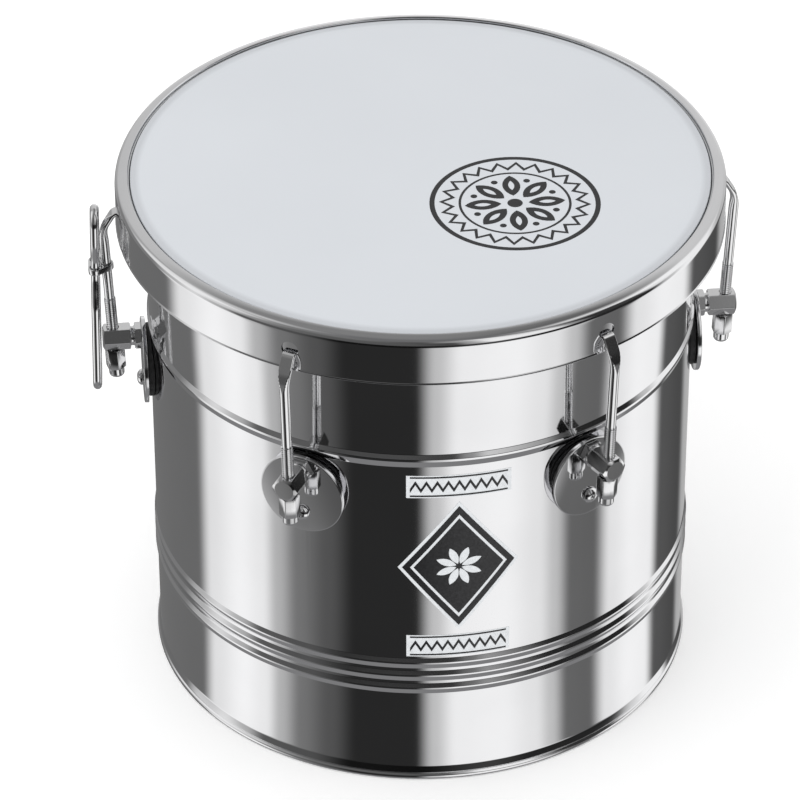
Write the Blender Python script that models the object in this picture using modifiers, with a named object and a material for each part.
"""Hand repique: a steel drum with one plastic head, six hooked tension rods and a strap link.

Units are metres and +Z is up. The origin is at the middle of the rolled bottom edge, so the drum
stands on z = 0 and its axis is the Z axis. Each lug is modelled once in its own frame, where X points
outward from the drum's axis and Z is up, and is then turned to its place round the shell.
"""

import bpy
import bmesh
from math import cos, pi, radians, sin, sqrt, tan
from mathutils import Matrix, Vector

# Running and seating gap that every pair of touching pieces keeps
CLEARANCE = 0.0003

# Shell: rolled steel sheet. A bead's shape is (share of width, share of rise) from edge to crest
SHELL_RADIUS = 0.1500
SHELL_HEIGHT = 0.3037
SHELL_WALL = 0.0012
BEARING_ROLL = 0.0025
BEARING_LIP = 0.0060
HEM_ROLL = 0.0020
HEM_FLAT = 0.0016
HEM_PROUD = 0.0018
HEM_FLARE = 0.0045
HEM_SHOULDER = radians(40)
UPPER_BEAD_Z = 0.2180
UPPER_BEAD_WIDTH = 0.0066
UPPER_BEAD_RISE = 0.0024
UPPER_BEAD_SHAPE = ((0.5, 0.0), (0.28, 0.35), (0.1, 1.0))
LOWER_BEAD_Z = 0.0708
LOWER_BEAD_PITCH = 0.0087
LOWER_BEAD_WIDTH = 0.0064
LOWER_BEAD_RISE = 0.0014
LOWER_BEADS = 3
LOWER_BEAD_SHAPE = ((0.5, 0.0), (0.14, 1.0))
INSIDE_BEAD_SHAPE = ((0.5, 0.0), (0.08, 1.0))

# Drumhead: film bonded into a channelled flesh hoop
FILM_THICKNESS = 0.0004
FILM_DROP = 0.0005
FILM_TAIL = 0.0036
FLESH_HOOP_GAP = 0.0050
FLESH_HOOP_WALL = 0.0019
FLESH_HOOP_OUTER_WALL = 0.00285
FLESH_HOOP_HEIGHT = 0.0072
FLESH_HOOP_FLOOR = 0.0025
FLESH_SLOT = 0.0012

# Counterhoop: pressed steel ring with a flange on top, a chamfer and a deep skirt
HOOP_GAP = 0.00355
HOOP_WALL = 0.0015
HOOP_SKIRT = 0.0276
FLANGE_LIP = 0.0004
FLANGE_FLAT = 0.0039
FLANGE_DROP = 0.0026
HOOK_HOLE_RADIUS = 0.0048
HOOK_HOLE_DROP = 0.0152

# Lugs
LUG_COUNT = 6
FIRST_LUG_ANGLE = radians(225)
PLATE_Z = 0.1890
PLATE_RADIUS = 0.0240
PLATE_THICKNESS = 0.0024
PLATE_BEVEL = 0.0004
GASKET_RADIUS = 0.0226
GASKET_THICKNESS = 0.0018
POST_RISE = 0.0164
POST_ACROSS_FLATS = 0.0130
POST_BASE = 0.0035
POST_FLARE = 0.0008
POST_NECK = 0.0022
POST_NECK_RADIUS = 0.0054
POST_BARREL = 0.0155
POST_CHAMFER = 0.0012
POST_FACE_RADIUS = 0.0056
ROD_HOLE_INSET = 0.0061
BOLT_RADIUS = 0.0030
BOLT_HEAD_FLATS = 0.0100
BOLT_HEAD = 0.0040
BOLT_FLANGE_RADIUS = 0.0068
BOLT_FLANGE = 0.0010
BOLT_GRIP_IN_POST = 0.0085
SCREW_DROP = 0.0118
SCREW_RADIUS = 0.0020
SCREW_HEAD_RADIUS = 0.0045
SCREW_HEAD = 0.0030
SCREW_DOME = ((0.5, 1.0), (0.82, 0.8), (1.0, 0.45))
SCREW_NUT_FLATS = 0.0070
SCREW_NUT = 0.0032
SCREW_TAIL = 0.0015

# Tension hook and its cap nut
ROD_LEAN = radians(2.6)
THREAD_RADIUS = 0.0032
THREAD_TOP = 0.0265
SHANK_RADIUS = 0.00275
STRAP_WIDTH = 0.0074
STRAP_THICKNESS = 0.0030
STRAP_BLEND_BELOW_BEND = 0.0066
STRAP_BLEND = 0.0152
STRAP_SLOPE = radians(33)
STRAP_BEND_RADIUS = 0.0080
STRAP_CREST_RADIUS = 0.0020
STRAP_CREST_INSET = 0.0008
STRAP_TIP = 0.0060
STRAP_TIP_CHAMFER = 0.0008
STRAP_FLATNESS = 0.6
NUT_ACROSS_FLATS = 0.0100
NUT_HEX = 0.0122
NUT_COLLAR_RADIUS = 0.0043
NUT_COLLAR = 0.0062
NUT_DOME = ((1.0, 0.4), (0.78, 0.12), (0.4, 0.0))
NUT_CHAMFER = 0.0005
NUT_BORE_DEPTH = 0.0140
ROD_IN_NUT = 0.0100

# Strap link on the first lug
LINK_WIRE_RADIUS = 0.0025
LINK_OFFSET = 0.0060
LINK_TWIST = radians(-3)
LINK_TILT = radians(-3.8)
CLIP_DROP = 0.0229
CLIP_THICKNESS = 0.0050
CLIP_WALL = 0.0014
CLIP_EYE_WRAP = radians(65)
CLIP_END_WRAP = radians(105)
CLIP_HOLE_GAP = 0.0007
WAIST_LENGTH = 0.0080
LINK_WAIST = 0.0038
LINK_LOOP_HALF = 0.0090
LINK_LOOP_LENGTH = 0.0797
LINK_LOOP_TAPER = 0.0200
LINK_EYE_HALF = 0.0070
LINK_EYE_LENGTH = 0.0386
LINK_EYE_TAPER = 0.0160

# Facets
RING_STEPS = 48
PLATE_SIDES = 20
TURNED_SIDES = 12
SMALL_SIDES = 8
HOLE_SIDES = 12
ROD_SIDES = 8
BORE_SIDES = 8
ARC_STEPS = 3
BEND_STEPS = 3
SMOOTH_ANGLE = radians(35)
CUT_MARGIN = 0.0100
MERGE_DISTANCE = 0.00002
MITRE_LIMIT = 0.5

# Places worked out from the sizes above
gasket_back = SHELL_RADIUS + CLEARANCE
plate_back = gasket_back + GASKET_THICKNESS + CLEARANCE
plate_face = plate_back + PLATE_THICKNESS
post_back = plate_face + CLEARANCE
post_end = post_back + POST_BASE + POST_NECK + POST_BARREL
post_z = PLATE_Z + POST_RISE
rod_radius_at_post = post_end - ROD_HOLE_INSET
screw_z = PLATE_Z - SCREW_DROP
shell_inside = (SHELL_RADIUS - SHELL_WALL) * cos(pi / RING_STEPS) - CLEARANCE
film_under = SHELL_HEIGHT + CLEARANCE
flesh_inner = SHELL_RADIUS + FLESH_HOOP_GAP
flesh_slot_inner = flesh_inner + FLESH_HOOP_WALL
flesh_slot_outer = flesh_slot_inner + FLESH_SLOT
flesh_outer = flesh_slot_outer + FLESH_HOOP_OUTER_WALL
flesh_top = film_under - FILM_DROP - CLEARANCE
flange_inner = flesh_slot_outer + FLANGE_LIP
hoop_radius = flesh_outer + HOOP_GAP + HOOP_WALL
hoop_top = flesh_top + CLEARANCE + HOOP_WALL
hook_hole_z = hoop_top - HOOK_HOLE_DROP
hoop_middle = hoop_radius - HOOP_WALL / 2


def clear_scene():
    for item in list(bpy.data.objects):
        bpy.data.objects.remove(item, do_unlink=True)


def make_collection(name):
    collection = bpy.data.collections.new(name)
    bpy.context.scene.collection.children.link(collection)
    return collection


def make_material(name, color, roughness, metallic):
    material = bpy.data.materials.new(name)
    material.use_nodes = True
    shader = material.node_tree.nodes["Principled BSDF"]
    shader.inputs["Base Color"].default_value = (*color, 1.0)
    shader.inputs["Roughness"].default_value = roughness
    shader.inputs["Metallic"].default_value = metallic
    material.diffuse_color = (*color, 1.0)
    return material


def add_object(name, mesh, material, parent=None):
    """Put a mesh in the drum's collection as one named piece."""
    piece = bpy.data.objects.new(name, mesh)
    if not mesh.materials:
        mesh.materials.append(material)
    parts.objects.link(piece)
    piece.parent = parent
    return piece


def add_empty(name, parent=None):
    empty = bpy.data.objects.new(name, None)
    parts.objects.link(empty)
    empty.parent = parent
    return empty


def finish_mesh(shape, name):
    """Turn a bmesh into a smooth-shaded mesh with crisp edges."""
    mesh = bpy.data.meshes.new(name)
    shape.to_mesh(mesh)
    shape.free()
    mesh.shade_smooth()
    mesh.set_sharp_from_angle(angle=SMOOTH_ANGLE)
    return mesh


def along_x(x, y, z):
    """Matrix that lays a Z-axis solid along X, centred at the given point."""
    return Matrix.Translation((x, y, z)) @ Matrix.Rotation(pi / 2, 4, "Y")


def cylinder(shape, radius, length, sides, place):
    """Add a capped cylinder along the Z axis of place, with a flat facing X."""
    flat_to_x = pi / sides - pi / 2
    bmesh.ops.create_cone(
        shape, cap_ends=True, segments=sides, radius1=radius, radius2=radius, depth=length,
        matrix=place @ Matrix.Rotation(flat_to_x, 4, "Z"))


def hex_bar(across_flats, start, end):
    """Hexagonal bar along Z with flats facing plus and minus X."""
    shape = bmesh.new()
    middle = Matrix.Translation((0, 0, (start + end) / 2))
    cylinder(shape, across_flats / sqrt(3), end - start, 6, middle)
    return shape


def turned(name, profile, steps):
    """Revolve a profile of (radius, height) points about Z, with a flat facing X."""
    mesh = bpy.data.meshes.new(name)
    shape = bmesh.new()
    points = [shape.verts.new((radius, 0, height)) for radius, height in profile]
    on_axis = profile[0][0] == 0 and profile[-1][0] == 0
    pairs = zip(points, points[1:] if on_axis else points[1:] + points[:1])
    for first, second in pairs:
        shape.edges.new((first, second))
    shape.to_mesh(mesh)
    shape.free()
    blank = bpy.data.objects.new(name, mesh)
    cutters.objects.link(blank)
    screw = blank.modifiers.new("Revolve", "SCREW")
    screw.steps = steps
    screw.render_steps = steps
    screw.use_merge_vertices = True
    screw.merge_threshold = MERGE_DISTANCE
    result = apply_modifiers(blank)
    result.transform(Matrix.Rotation(pi / steps, 4, "Z"))
    result.shade_smooth()
    result.set_sharp_from_angle(angle=SMOOTH_ANGLE)
    return result


def apply_modifiers(blank):
    """Return the evaluated mesh of a working object and remove the object."""
    graph = bpy.context.evaluated_depsgraph_get()
    result = bpy.data.meshes.new_from_object(blank.evaluated_get(graph))
    result.name = blank.name
    bpy.data.objects.remove(blank, do_unlink=True)
    return result


def combine(name, mesh, steps):
    """Apply a list of (operation, cutter mesh) booleans to a mesh and return the result."""
    blank = bpy.data.objects.new(name, mesh)
    cutters.objects.link(blank)
    tools = []
    for operation, tool_mesh in steps:
        tool = bpy.data.objects.new(name + "_cutter", tool_mesh)
        tool.hide_render = True
        tool.display_type = "WIRE"
        cutters.objects.link(tool)
        tools.append(tool)
        boolean = blank.modifiers.new("Cut", "BOOLEAN")
        boolean.operation = operation
        boolean.solver = "EXACT"
        boolean.object = tool
    result = apply_modifiers(blank)
    for tool in tools:
        bpy.data.objects.remove(tool, do_unlink=True)
    result.shade_smooth()
    result.set_sharp_from_angle(angle=SMOOTH_ANGLE)
    return result


def cutter_mesh(shape):
    mesh = bpy.data.meshes.new("cutter")
    shape.to_mesh(mesh)
    shape.free()
    return mesh


def drill(radius, start, end, z, sides):
    """Cutter for a radial hole in the lug frame."""
    shape = bmesh.new()
    cylinder(shape, radius, end - start, sides, along_x((start + end) / 2, 0, z))
    return cutter_mesh(shape)


def radial_holes(radius, start, end, heights, sides):
    """Cutter with one radial hole per lug at each height."""
    shape = bmesh.new()
    for index in range(LUG_COUNT):
        turn = Matrix.Rotation(lug_angle(index), 4, "Z")
        for z in heights:
            cylinder(shape, radius, end - start, sides, turn @ along_x((start + end) / 2, 0, z))
    return cutter_mesh(shape)


def lug_angle(index):
    return FIRST_LUG_ANGLE + index * 2 * pi / LUG_COUNT


def arc(center, radius, start, end, steps):
    """Points on a circle in the (radius, height) plane, angles from the outward direction."""
    angles = [start + (end - start) * step / steps for step in range(steps + 1)]
    return [(center[0] + radius * cos(a), center[1] + radius * sin(a)) for a in angles]


def sheet_back(path, wall):
    """The far face of a folded sheet whose near face is the path, in reverse order."""
    back = []
    for index, point in enumerate(path):
        before = path[max(index - 1, 0)]
        after = path[min(index + 1, len(path) - 1)]
        first = Vector((point[0] - before[0], point[1] - before[1]))
        second = Vector((after[0] - point[0], after[1] - point[1]))
        first = first.normalized() if first.length else second.normalized()
        second = second.normalized() if second.length else first
        normal = Vector((first.y + second.y, -first.x - second.x)).normalized()
        reach = wall / max(normal.dot(Vector((second.y, -second.x))), MITRE_LIMIT)
        back.append((point[0] + normal.x * reach, point[1] + normal.y * reach))
    return back[::-1]


def sheet(path, wall):
    """Close a path into the section of a folded sheet, with the wall on its right-hand side."""
    return path + sheet_back(path, wall)


def bead(radius, z, width, rise, shape):
    """Bead rolled into a wall, top to bottom; shape gives (height, rise) shares down to its crest."""
    upper = [(radius + rise * lift, z + width * side) for side, lift in shape]
    lower = [(radius + rise * lift, z - width * side) for side, lift in reversed(shape)]
    return upper + lower


def build_shell():
    """Steel cylinder: rolled bearing edge, one large bead, three small ones and a rolled hem."""
    roll_center = (SHELL_RADIUS - BEARING_ROLL, SHELL_HEIGHT - BEARING_ROLL)
    top = [(roll_center[0] - BEARING_ROLL, roll_center[1] - BEARING_LIP)]
    top += arc(roll_center, BEARING_ROLL, pi, 0, ARC_STEPS + 1)
    middle = bead(SHELL_RADIUS, UPPER_BEAD_Z, UPPER_BEAD_WIDTH, UPPER_BEAD_RISE, UPPER_BEAD_SHAPE)
    for index in range(LOWER_BEADS):
        place = LOWER_BEAD_Z + ((LOWER_BEADS - 1) / 2 - index) * LOWER_BEAD_PITCH
        middle += bead(SHELL_RADIUS, place, LOWER_BEAD_WIDTH, LOWER_BEAD_RISE, LOWER_BEAD_SHAPE)
    hem_outer = SHELL_RADIUS + HEM_PROUD - HEM_ROLL
    hem_inner = hem_outer - HEM_FLAT
    hem = [(SHELL_RADIUS, 2 * HEM_ROLL + HEM_FLARE)]
    hem += arc((hem_outer, HEM_ROLL), HEM_ROLL, HEM_SHOULDER, -pi / 2, ARC_STEPS)
    hem += arc((hem_inner, HEM_ROLL), HEM_ROLL, -pi / 2, -pi, ARC_STEPS - 2)
    inner_wall = SHELL_RADIUS - SHELL_WALL
    inside = bead(inner_wall, UPPER_BEAD_Z, UPPER_BEAD_WIDTH, UPPER_BEAD_RISE, INSIDE_BEAD_SHAPE)
    outline = sheet(hem, SHELL_WALL) + inside[::-1] + sheet_back(top, SHELL_WALL) + top + middle
    shell = turned("shell", outline, RING_STEPS)
    reach = (SHELL_RADIUS - CUT_MARGIN, SHELL_RADIUS + CUT_MARGIN)
    bolt_holes = radial_holes(BOLT_RADIUS + CLEARANCE, *reach, [post_z], SMALL_SIDES)
    screw_holes = radial_holes(SCREW_RADIUS + CLEARANCE, *reach, [screw_z], SMALL_SIDES)
    mesh = combine("shell", shell, [("DIFFERENCE", bolt_holes), ("DIFFERENCE", screw_holes)])
    return add_object("shell", mesh, steel)


def build_counterhoop():
    """Pressed ring: flat flange over the flesh hoop, chamfered edge and a skirt with hook holes."""
    path = [
        (flange_inner, hoop_top),
        (flange_inner + FLANGE_FLAT, hoop_top),
        (hoop_radius, hoop_top - FLANGE_DROP),
        (hoop_radius, hoop_top - HOOP_SKIRT),
    ]
    ring = turned("counterhoop", sheet(path, HOOP_WALL), RING_STEPS)
    reach = (hoop_radius - CUT_MARGIN, hoop_radius + CUT_MARGIN)
    holes = radial_holes(HOOK_HOLE_RADIUS, *reach, [hook_hole_z], HOLE_SIDES)
    return add_object("counterhoop", combine("counterhoop", ring, [("DIFFERENCE", holes)]), steel)


def build_drumhead():
    """Milky film over the bearing edge, its rim turned down into the flesh hoop's slot."""
    tail_center = flesh_slot_inner + CLEARANCE + FILM_THICKNESS
    rim_under = film_under - FILM_DROP
    under = [
        (0, film_under),
        (SHELL_RADIUS - BEARING_ROLL / 2, film_under),
        (flesh_inner, rim_under),
        (tail_center - FILM_THICKNESS, rim_under),
        (tail_center - FILM_THICKNESS, rim_under - FILM_TAIL),
    ]
    over = [
        (tail_center, rim_under - FILM_TAIL),
        (tail_center, rim_under + FILM_THICKNESS),
        (flesh_inner, rim_under + FILM_THICKNESS),
        (SHELL_RADIUS - BEARING_ROLL / 2, film_under + FILM_THICKNESS),
        (0, film_under + FILM_THICKNESS),
    ]
    profile = over[::-1] + under[::-1]
    return add_object("drumhead", turned("drumhead", profile, RING_STEPS), film)


def build_flesh_hoop():
    """Aluminium channel that grips the film, pressed down by the counterhoop's flange."""
    bottom = flesh_top - FLESH_HOOP_HEIGHT
    floor = bottom + FLESH_HOOP_FLOOR
    profile = [
        (flesh_slot_outer, flesh_top),
        (flesh_outer, flesh_top),
        (flesh_outer, bottom),
        (flesh_inner, bottom),
        (flesh_inner, flesh_top),
        (flesh_slot_inner, flesh_top),
        (flesh_slot_inner, floor),
        (flesh_slot_outer, floor),
    ]
    return add_object("flesh_hoop", turned("flesh_hoop", profile, RING_STEPS), aluminium)


def plate_mesh():
    """Round steel plate with two holes, its rim eased."""
    profile = [
        (0, PLATE_THICKNESS),
        (PLATE_RADIUS - PLATE_BEVEL, PLATE_THICKNESS),
        (PLATE_RADIUS, PLATE_THICKNESS - PLATE_BEVEL),
        (PLATE_RADIUS, 0),
        (0, 0),
    ]
    disc = turned("lug_plate", profile, PLATE_SIDES)
    disc.transform(along_x(plate_back, 0, PLATE_Z))
    return combine("lug_plate", disc, lug_holes(plate_back - CUT_MARGIN, plate_face + CUT_MARGIN))


def lug_holes(start, end):
    """The bolt hole and the screw hole that run through plate and gasket."""
    bolt = drill(BOLT_RADIUS + CLEARANCE, start, end, post_z, SMALL_SIDES)
    screw = drill(SCREW_RADIUS + CLEARANCE, start, end, screw_z, SMALL_SIDES)
    return [("DIFFERENCE", bolt), ("DIFFERENCE", screw)]


def gasket_mesh():
    """Rubber pad, flat under the plate and hollowed to the curve of the shell."""
    shape = bmesh.new()
    front = gasket_back + GASKET_THICKNESS
    depth = GASKET_THICKNESS + CUT_MARGIN
    cylinder(shape, GASKET_RADIUS, depth, PLATE_SIDES, along_x(front - depth / 2, 0, PLATE_Z))
    pad = finish_mesh(shape, "rubber_gasket")
    drum = bmesh.new()
    height = 2 * GASKET_RADIUS + CUT_MARGIN
    cylinder(drum, gasket_back, height, RING_STEPS, Matrix.Translation((0, 0, PLATE_Z)))
    steps = [("DIFFERENCE", cutter_mesh(drum))]
    return combine("rubber_gasket", pad, steps + lug_holes(front - 2 * CUT_MARGIN, front + CUT_MARGIN))


def post_mesh():
    """Hexagonal bar turned to a flared base, a neck and a chamfered barrel, then cross-drilled."""
    corner = POST_ACROSS_FLATS / sqrt(3)
    base_top = POST_BASE
    neck_top = base_top + POST_NECK
    length = neck_top + POST_BARREL
    envelope = [
        (0, length),
        (POST_FACE_RADIUS, length),
        (corner, length - POST_CHAMFER),
        (corner, neck_top),
        (POST_NECK_RADIUS, neck_top),
        (POST_NECK_RADIUS, base_top),
        (corner, base_top - POST_FLARE),
        (corner + POST_FLARE, 0),
        (0, 0),
    ]
    outline = turned("lug_post", envelope, TURNED_SIDES)
    bar = hex_bar(POST_ACROSS_FLATS, -CUT_MARGIN, length + CUT_MARGIN)
    blank = combine("lug_post", outline, [("INTERSECT", cutter_mesh(bar))])
    blank.transform(along_x(post_back, 0, post_z))
    bore = drill(BOLT_RADIUS + CLEARANCE, post_back - CUT_MARGIN,
                 post_back + BOLT_GRIP_IN_POST + CLEARANCE, post_z, SMALL_SIDES)
    cross = bmesh.new()
    cylinder(cross, THREAD_RADIUS + CLEARANCE, 2 * CUT_MARGIN, BORE_SIDES, rod_place())
    return combine("lug_post", blank, [("DIFFERENCE", bore), ("DIFFERENCE", cutter_mesh(cross))])


def bolt_mesh():
    """Flanged hexagon bolt that holds the post from inside the shell."""
    profile = [
        (0, post_back + BOLT_GRIP_IN_POST),
        (BOLT_RADIUS, post_back + BOLT_GRIP_IN_POST),
        (BOLT_RADIUS, shell_inside),
        (BOLT_FLANGE_RADIUS, shell_inside),
        (BOLT_FLANGE_RADIUS, shell_inside - BOLT_FLANGE),
        (0, shell_inside - BOLT_FLANGE),
    ]
    stem = turned("post_bolt", profile, SMALL_SIDES)
    head = hex_bar(BOLT_HEAD_FLATS, shell_inside - BOLT_FLANGE - BOLT_HEAD, shell_inside - BOLT_FLANGE / 2)
    bolt = combine("post_bolt", stem, [("UNION", cutter_mesh(head))])
    bolt.transform(along_x(0, 0, post_z))
    return bolt


def screw_mesh():
    """Pan-headed screw in the lower part of the plate."""
    face = plate_face + CLEARANCE
    tip = shell_inside - SCREW_NUT - SCREW_TAIL
    dome = [(SCREW_HEAD_RADIUS * across, face + SCREW_HEAD * up) for across, up in SCREW_DOME]
    profile = [(0, face + SCREW_HEAD)] + dome
    profile += [(SCREW_HEAD_RADIUS, face), (SCREW_RADIUS, face), (SCREW_RADIUS, tip), (0, tip)]
    screw = turned("plate_screw", profile, SMALL_SIDES)
    screw.transform(along_x(0, 0, screw_z))
    return screw


def screw_nut_mesh():
    """Hexagon nut inside the shell."""
    blank = hex_bar(SCREW_NUT_FLATS, shell_inside - SCREW_NUT, shell_inside)
    nut = finish_mesh(blank, "plate_screw_nut")
    nut.transform(along_x(0, 0, screw_z))
    reach = (shell_inside - CUT_MARGIN, shell_inside + CUT_MARGIN)
    bore = drill(SCREW_RADIUS + CLEARANCE, *reach, screw_z, SMALL_SIDES)
    return combine("plate_screw_nut", nut, [("DIFFERENCE", bore)])


def rod_place():
    """Frame of a tension rod in the lug frame: origin on the post's axis, Z up along the rod."""
    return Matrix.Translation((rod_radius_at_post, 0, post_z)) @ Matrix.Rotation(ROD_LEAN, 4, "Y")


def hook_path():
    """The hook's centre line in the lug's (X, Z) plane: foot, rod's heading and length, then points.

    Each point past the start of the bend has its heading and its distance from that start.
    """
    seat = sqrt((HOOK_HOLE_RADIUS - CLEARANCE) ** 2 - (STRAP_WIDTH / 2) ** 2)
    arch = sqrt(STRAP_CREST_RADIUS ** 2 - (HOOP_WALL / 2 + STRAP_CREST_INSET) ** 2)
    crest = Vector((hoop_middle - STRAP_CREST_INSET, hook_hole_z - seat - arch))
    crest_radius = STRAP_CREST_RADIUS + STRAP_THICKNESS / 2
    foot = Vector((rod_radius_at_post, post_z))
    rod_heading = Vector((sin(ROD_LEAN), cos(ROD_LEAN)))
    slope_heading = Vector((-sin(STRAP_SLOPE), cos(STRAP_SLOPE)))
    slope_top = crest + crest_radius * Vector((cos(STRAP_SLOPE), sin(STRAP_SLOPE)))
    across = slope_top - foot
    turn = rod_heading.x * slope_heading.y - rod_heading.y * slope_heading.x
    corner = foot + rod_heading * ((across.x * slope_heading.y - across.y * slope_heading.x) / turn)
    bend = ROD_LEAN + STRAP_SLOPE
    trim = STRAP_BEND_RADIUS * tan(bend / 2)
    start = corner - rod_heading * trim
    center = start + STRAP_BEND_RADIUS * Vector((-rod_heading.y, rod_heading.x))
    points = []
    for step in range(BEND_STEPS + 1):
        angle = bend * step / BEND_STEPS
        spoke = Vector((cos(angle - ROD_LEAN), sin(angle - ROD_LEAN)))
        heading = Vector((-spoke.y, spoke.x))
        points.append((center + STRAP_BEND_RADIUS * spoke, heading, STRAP_BEND_RADIUS * angle))
    slope_start, _, distance = points[-1]
    slope = slope_top - slope_start
    points.append((slope_start + slope / 2, slope_heading, distance + slope.length / 2))
    distance += slope.length
    for step in range(2 * BEND_STEPS + 1):
        angle = STRAP_SLOPE + (pi - STRAP_SLOPE) * step / (2 * BEND_STEPS)
        spoke = Vector((cos(angle), sin(angle)))
        points.append((crest + crest_radius * spoke, Vector((-spoke.y, spoke.x)), distance))
    tip = points[-1][0] + Vector((0, -STRAP_TIP))
    points.append((tip, Vector((0, -1)), distance))
    rod_length = (start - foot).length
    return foot, rod_heading, rod_length, points


def section(width, thickness, squareness):
    """Points round a section that runs from a circle, squareness 0, to a rounded bar, 1."""
    power = 1.0 - STRAP_FLATNESS * squareness
    points = []
    for side in range(ROD_SIDES):
        angle = 2 * pi * (side + 0.5) / ROD_SIDES
        x, y = cos(angle), sin(angle)
        points.append((thickness / 2 * (abs(x) ** power) * (1 if x > 0 else -1),
                       width / 2 * (abs(y) ** power) * (1 if y > 0 else -1)))
    return points


def bar_size(distance):
    """Width, thickness and squareness of the hook's bar at a distance past the start of the bend."""
    share = min(max((distance + STRAP_BLEND_BELOW_BEND) / STRAP_BLEND, 0.0), 1.0)
    width = 2 * SHANK_RADIUS + (STRAP_WIDTH - 2 * SHANK_RADIUS) * share
    thickness = 2 * SHANK_RADIUS + (STRAP_THICKNESS - 2 * SHANK_RADIUS) * share
    return width, thickness, share


def nut_top():
    """Place of the cap nut's top face on the rod's axis, clear of the post's lower flat."""
    post_half = POST_ACROSS_FLATS / 2 / cos(ROD_LEAN)
    tipped_corner = NUT_ACROSS_FLATS / sqrt(3) * tan(ROD_LEAN)
    return -(post_half + tipped_corner + CLEARANCE)


def hook_mesh():
    """Threaded rod forged flat at the top and bent over through the hoop's hole, as a loft."""
    foot, heading, rod_length, bent = hook_path()
    round_bar = (2 * SHANK_RADIUS, 2 * SHANK_RADIUS, 0.0)
    thread = (2 * THREAD_RADIUS, 2 * THREAD_RADIUS, 0.0)
    chamfered = (2 * THREAD_RADIUS - 2 * NUT_CHAMFER, 2 * THREAD_RADIUS - 2 * NUT_CHAMFER, 0.0)
    rod_end = nut_top() - ROD_IN_NUT
    straight = [
        (rod_end, chamfered),
        (rod_end + NUT_CHAMFER, thread),
        (THREAD_TOP, thread),
        (THREAD_TOP + THREAD_RADIUS - SHANK_RADIUS, round_bar),
        (rod_length - STRAP_BLEND_BELOW_BEND, round_bar),
    ]
    stations = [(foot + heading * height, heading, size) for height, size in straight]
    stations += [(point, direction, bar_size(distance)) for point, direction, distance in bent]
    tip_point, tip_heading, _ = bent[-1]
    tip = (STRAP_WIDTH - 2 * STRAP_TIP_CHAMFER, STRAP_THICKNESS - 2 * STRAP_TIP_CHAMFER, 1.0)
    stations.append((tip_point + tip_heading * STRAP_TIP_CHAMFER, tip_heading, tip))
    shape = bmesh.new()
    rings = []
    for point, direction, size in stations:
        outward = Vector((direction.y, -direction.x))
        ring = [shape.verts.new((point.x + outward.x * u, v, point.y + outward.y * u))
                for u, v in section(*size)]
        rings.append(ring)
    for lower, upper in zip(rings, rings[1:]):
        for side in range(ROD_SIDES):
            after = (side + 1) % ROD_SIDES
            shape.faces.new((lower[side], lower[after], upper[after], upper[side]))
    shape.faces.new(rings[0][::-1])
    shape.faces.new(rings[-1])
    shape.transform(rod_place().inverted())
    return finish_mesh(shape, "tension_hook")


def cap_nut_mesh():
    """Hexagonal cap nut: hex body, turned collar with a domed end, blind bore from the top."""
    top = nut_top()
    corner = NUT_ACROSS_FLATS / sqrt(3)
    collar_top = top - NUT_HEX
    bottom = collar_top - NUT_COLLAR
    envelope = [
        (0, top),
        (corner, top),
        (corner, collar_top + NUT_CHAMFER),
        (NUT_COLLAR_RADIUS, collar_top),
    ]
    envelope += [(NUT_COLLAR_RADIUS * across, bottom + NUT_COLLAR * up) for across, up in NUT_DOME]
    envelope.append((0, bottom))
    outline = turned("cap_nut", envelope, TURNED_SIDES)
    bar = hex_bar(NUT_ACROSS_FLATS, bottom - CUT_MARGIN, top + CUT_MARGIN)
    bore = bmesh.new()
    bore_top = top + CUT_MARGIN
    bore_bottom = top - NUT_BORE_DEPTH
    place = Matrix.Translation((0, 0, (bore_top + bore_bottom) / 2))
    cylinder(bore, THREAD_RADIUS + CLEARANCE, bore_top - bore_bottom, BORE_SIDES, place)
    steps = [("INTERSECT", cutter_mesh(bar)), ("DIFFERENCE", cutter_mesh(bore))]
    return combine("cap_nut", outline, steps)


def ease(share):
    """Smooth step from 0 to 1."""
    share = min(max(share, 0.0), 1.0)
    return share * share * (3 - 2 * share)


def link_side(z):
    """Half width of the strap link's wire at a height above its waist."""
    away = abs(z) - WAIST_LENGTH / 2
    if z < 0:
        return LINK_WAIST + (LINK_LOOP_HALF - LINK_WAIST) * ease(away / LINK_LOOP_TAPER)
    return LINK_WAIST + (LINK_EYE_HALF - LINK_WAIST) * ease(away / LINK_EYE_TAPER)


def link_points():
    """Wire centre line as (side, height): up one side, over the eye, down and round the loop."""
    top = LINK_EYE_LENGTH - LINK_WIRE_RADIUS - LINK_EYE_HALF
    bottom = -(LINK_LOOP_LENGTH - LINK_WIRE_RADIUS - LINK_LOOP_HALF)
    steps = [step / ARC_STEPS for step in range(ARC_STEPS + 1)]
    heights = [bottom] + [-WAIST_LENGTH / 2 - LINK_LOOP_TAPER * share for share in reversed(steps)]
    heights += [WAIST_LENGTH / 2 + LINK_EYE_TAPER * share for share in steps]
    right = [(link_side(z), z) for z in heights]
    over = arc((0, top), LINK_EYE_HALF, 0, pi, 2 * ARC_STEPS)
    left = [(-side, z) for side, z in reversed(right)]
    under = arc((0, bottom), LINK_LOOP_HALF, pi, 2 * pi, 2 * ARC_STEPS)
    return right + over + left[:-1] + under[:-1]


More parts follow.
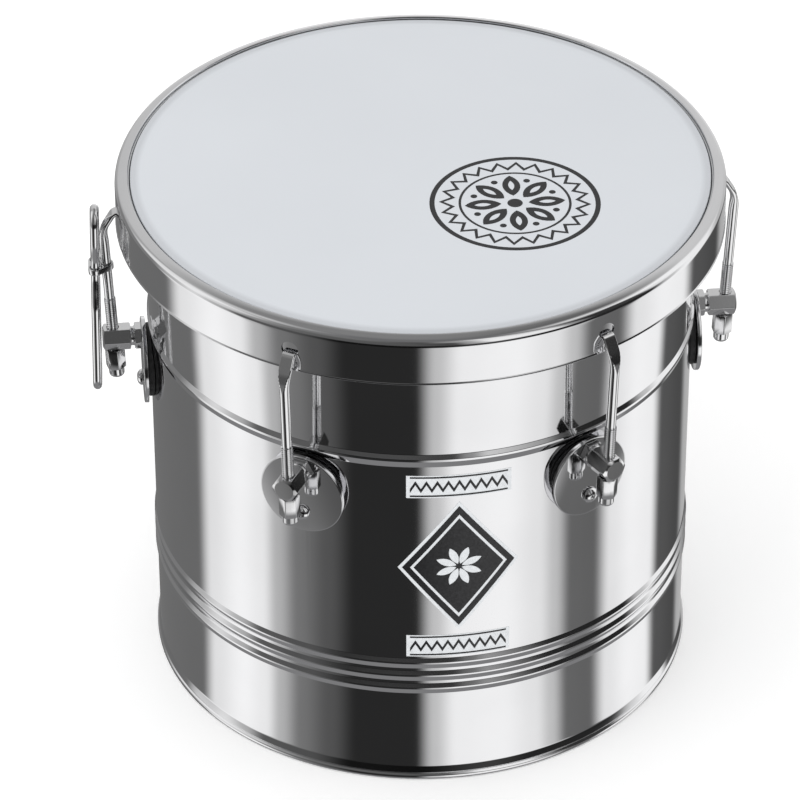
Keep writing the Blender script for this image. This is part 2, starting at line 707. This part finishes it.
def build_link(rod_frame, clip_height):
    """Strap link: one closed wire, pinched at the waist, where a clip holds it to the rod."""
    curve = bpy.data.curves.new("strap_link", "CURVE")
    curve.dimensions = "3D"
    curve.bevel_depth = LINK_WIRE_RADIUS
    curve.bevel_resolution = 2
    points = link_points()
    spline = curve.splines.new("POLY")
    spline.points.add(len(points) - 1)
    for slot, (side, z) in zip(spline.points, points):
        slot.co = (0, side, z, 1)
    spline.use_cyclic_u = True
    curve.materials.append(steel)
    link = bpy.data.objects.new("strap_link", curve)
    parts.objects.link(link)
    link.parent = rod_frame
    link.location = (LINK_OFFSET, 0, clip_height)
    link.rotation_euler = (0, LINK_TILT, LINK_TWIST)
    return link


def outline_spline(curve, points):
    spline = curve.splines.new("POLY")
    spline.points.add(len(points) - 1)
    for slot, (x, y) in zip(spline.points, points):
        slot.co = (x, y, 0, 1)
    spline.use_cyclic_u = True


def build_clip(rod_frame, clip_height):
    """Flat clip with a round eye on the rod and two holes that hold the strands of the link."""
    curve = bpy.data.curves.new("link_clip", "CURVE")
    curve.dimensions = "2D"
    curve.fill_mode = "BOTH"
    curve.extrude = CLIP_THICKNESS / 2
    eye = SHANK_RADIUS + CLEARANCE
    hole = LINK_WIRE_RADIUS + CLIP_HOLE_GAP
    right = (LINK_OFFSET - LINK_WAIST * sin(LINK_TWIST), LINK_WAIST * cos(LINK_TWIST))
    left = (LINK_OFFSET + LINK_WAIST * sin(LINK_TWIST), -LINK_WAIST * cos(LINK_TWIST))
    outside = arc((0, 0), eye + CLIP_WALL, pi - CLIP_EYE_WRAP, pi + CLIP_EYE_WRAP, 2 * ARC_STEPS)
    outside += arc(left, hole + CLIP_WALL, -CLIP_END_WRAP, 0, ARC_STEPS)
    outside += arc(right, hole + CLIP_WALL, 0, CLIP_END_WRAP, ARC_STEPS)
    outline_spline(curve, outside)
    outline_spline(curve, arc((0, 0), eye, 0, 2 * pi, ROD_SIDES)[:-1])
    for strand in (left, right):
        outline_spline(curve, arc(strand, hole, 0, 2 * pi, HOLE_SIDES)[:-1])
    curve.materials.append(steel)
    clip = bpy.data.objects.new("link_clip", curve)
    parts.objects.link(clip)
    clip.parent = rod_frame
    clip.location = (0, 0, clip_height)
    return clip


def build_lugs():
    """Six lugs, each with its plate, gasket, post, fasteners, hook and cap nut."""
    fixed = {
        "lug_plate": (plate_mesh(), steel),
        "rubber_gasket": (gasket_mesh(), rubber),
        "lug_post": (post_mesh(), steel),
        "post_bolt": (bolt_mesh(), zinc),
        "plate_screw": (screw_mesh(), steel),
        "plate_screw_nut": (screw_nut_mesh(), zinc),
    }
    on_rod = {
        "tension_hook": (hook_mesh(), steel),
        "cap_nut": (cap_nut_mesh(), steel),
    }
    clip_height = hook_path()[2] - CLIP_DROP
    for index in range(LUG_COUNT):
        number = "_%d" % (index + 1)
        lug = add_empty("lug" + number)
        lug.rotation_euler.z = lug_angle(index)
        rod_frame = add_empty("rod" + number, lug)
        rod_frame.location = (rod_radius_at_post, 0, post_z)
        rod_frame.rotation_euler.y = ROD_LEAN
        for name, (mesh, material) in fixed.items():
            add_object(name + number, mesh, material, lug)
        for name, (mesh, material) in on_rod.items():
            add_object(name + number, mesh, material, rod_frame)
        if index == 0:
            build_link(rod_frame, clip_height)
            build_clip(rod_frame, clip_height)


clear_scene()
parts = make_collection("hand_repique")
cutters = make_collection("cutters")
steel = make_material("polished_steel", (0.80, 0.80, 0.81), 0.08, 1.0)
zinc = make_material("zinc_plate", (0.62, 0.62, 0.60), 0.35, 1.0)
aluminium = make_material("aluminium", (0.72, 0.73, 0.74), 0.30, 1.0)
film = make_material("milky_film", (0.74, 0.76, 0.78), 0.35, 0.0)
rubber = make_material("black_rubber", (0.02, 0.02, 0.02), 0.60, 0.0)
build_shell()
build_counterhoop()
build_drumhead()
build_flesh_hoop()
build_lugs()
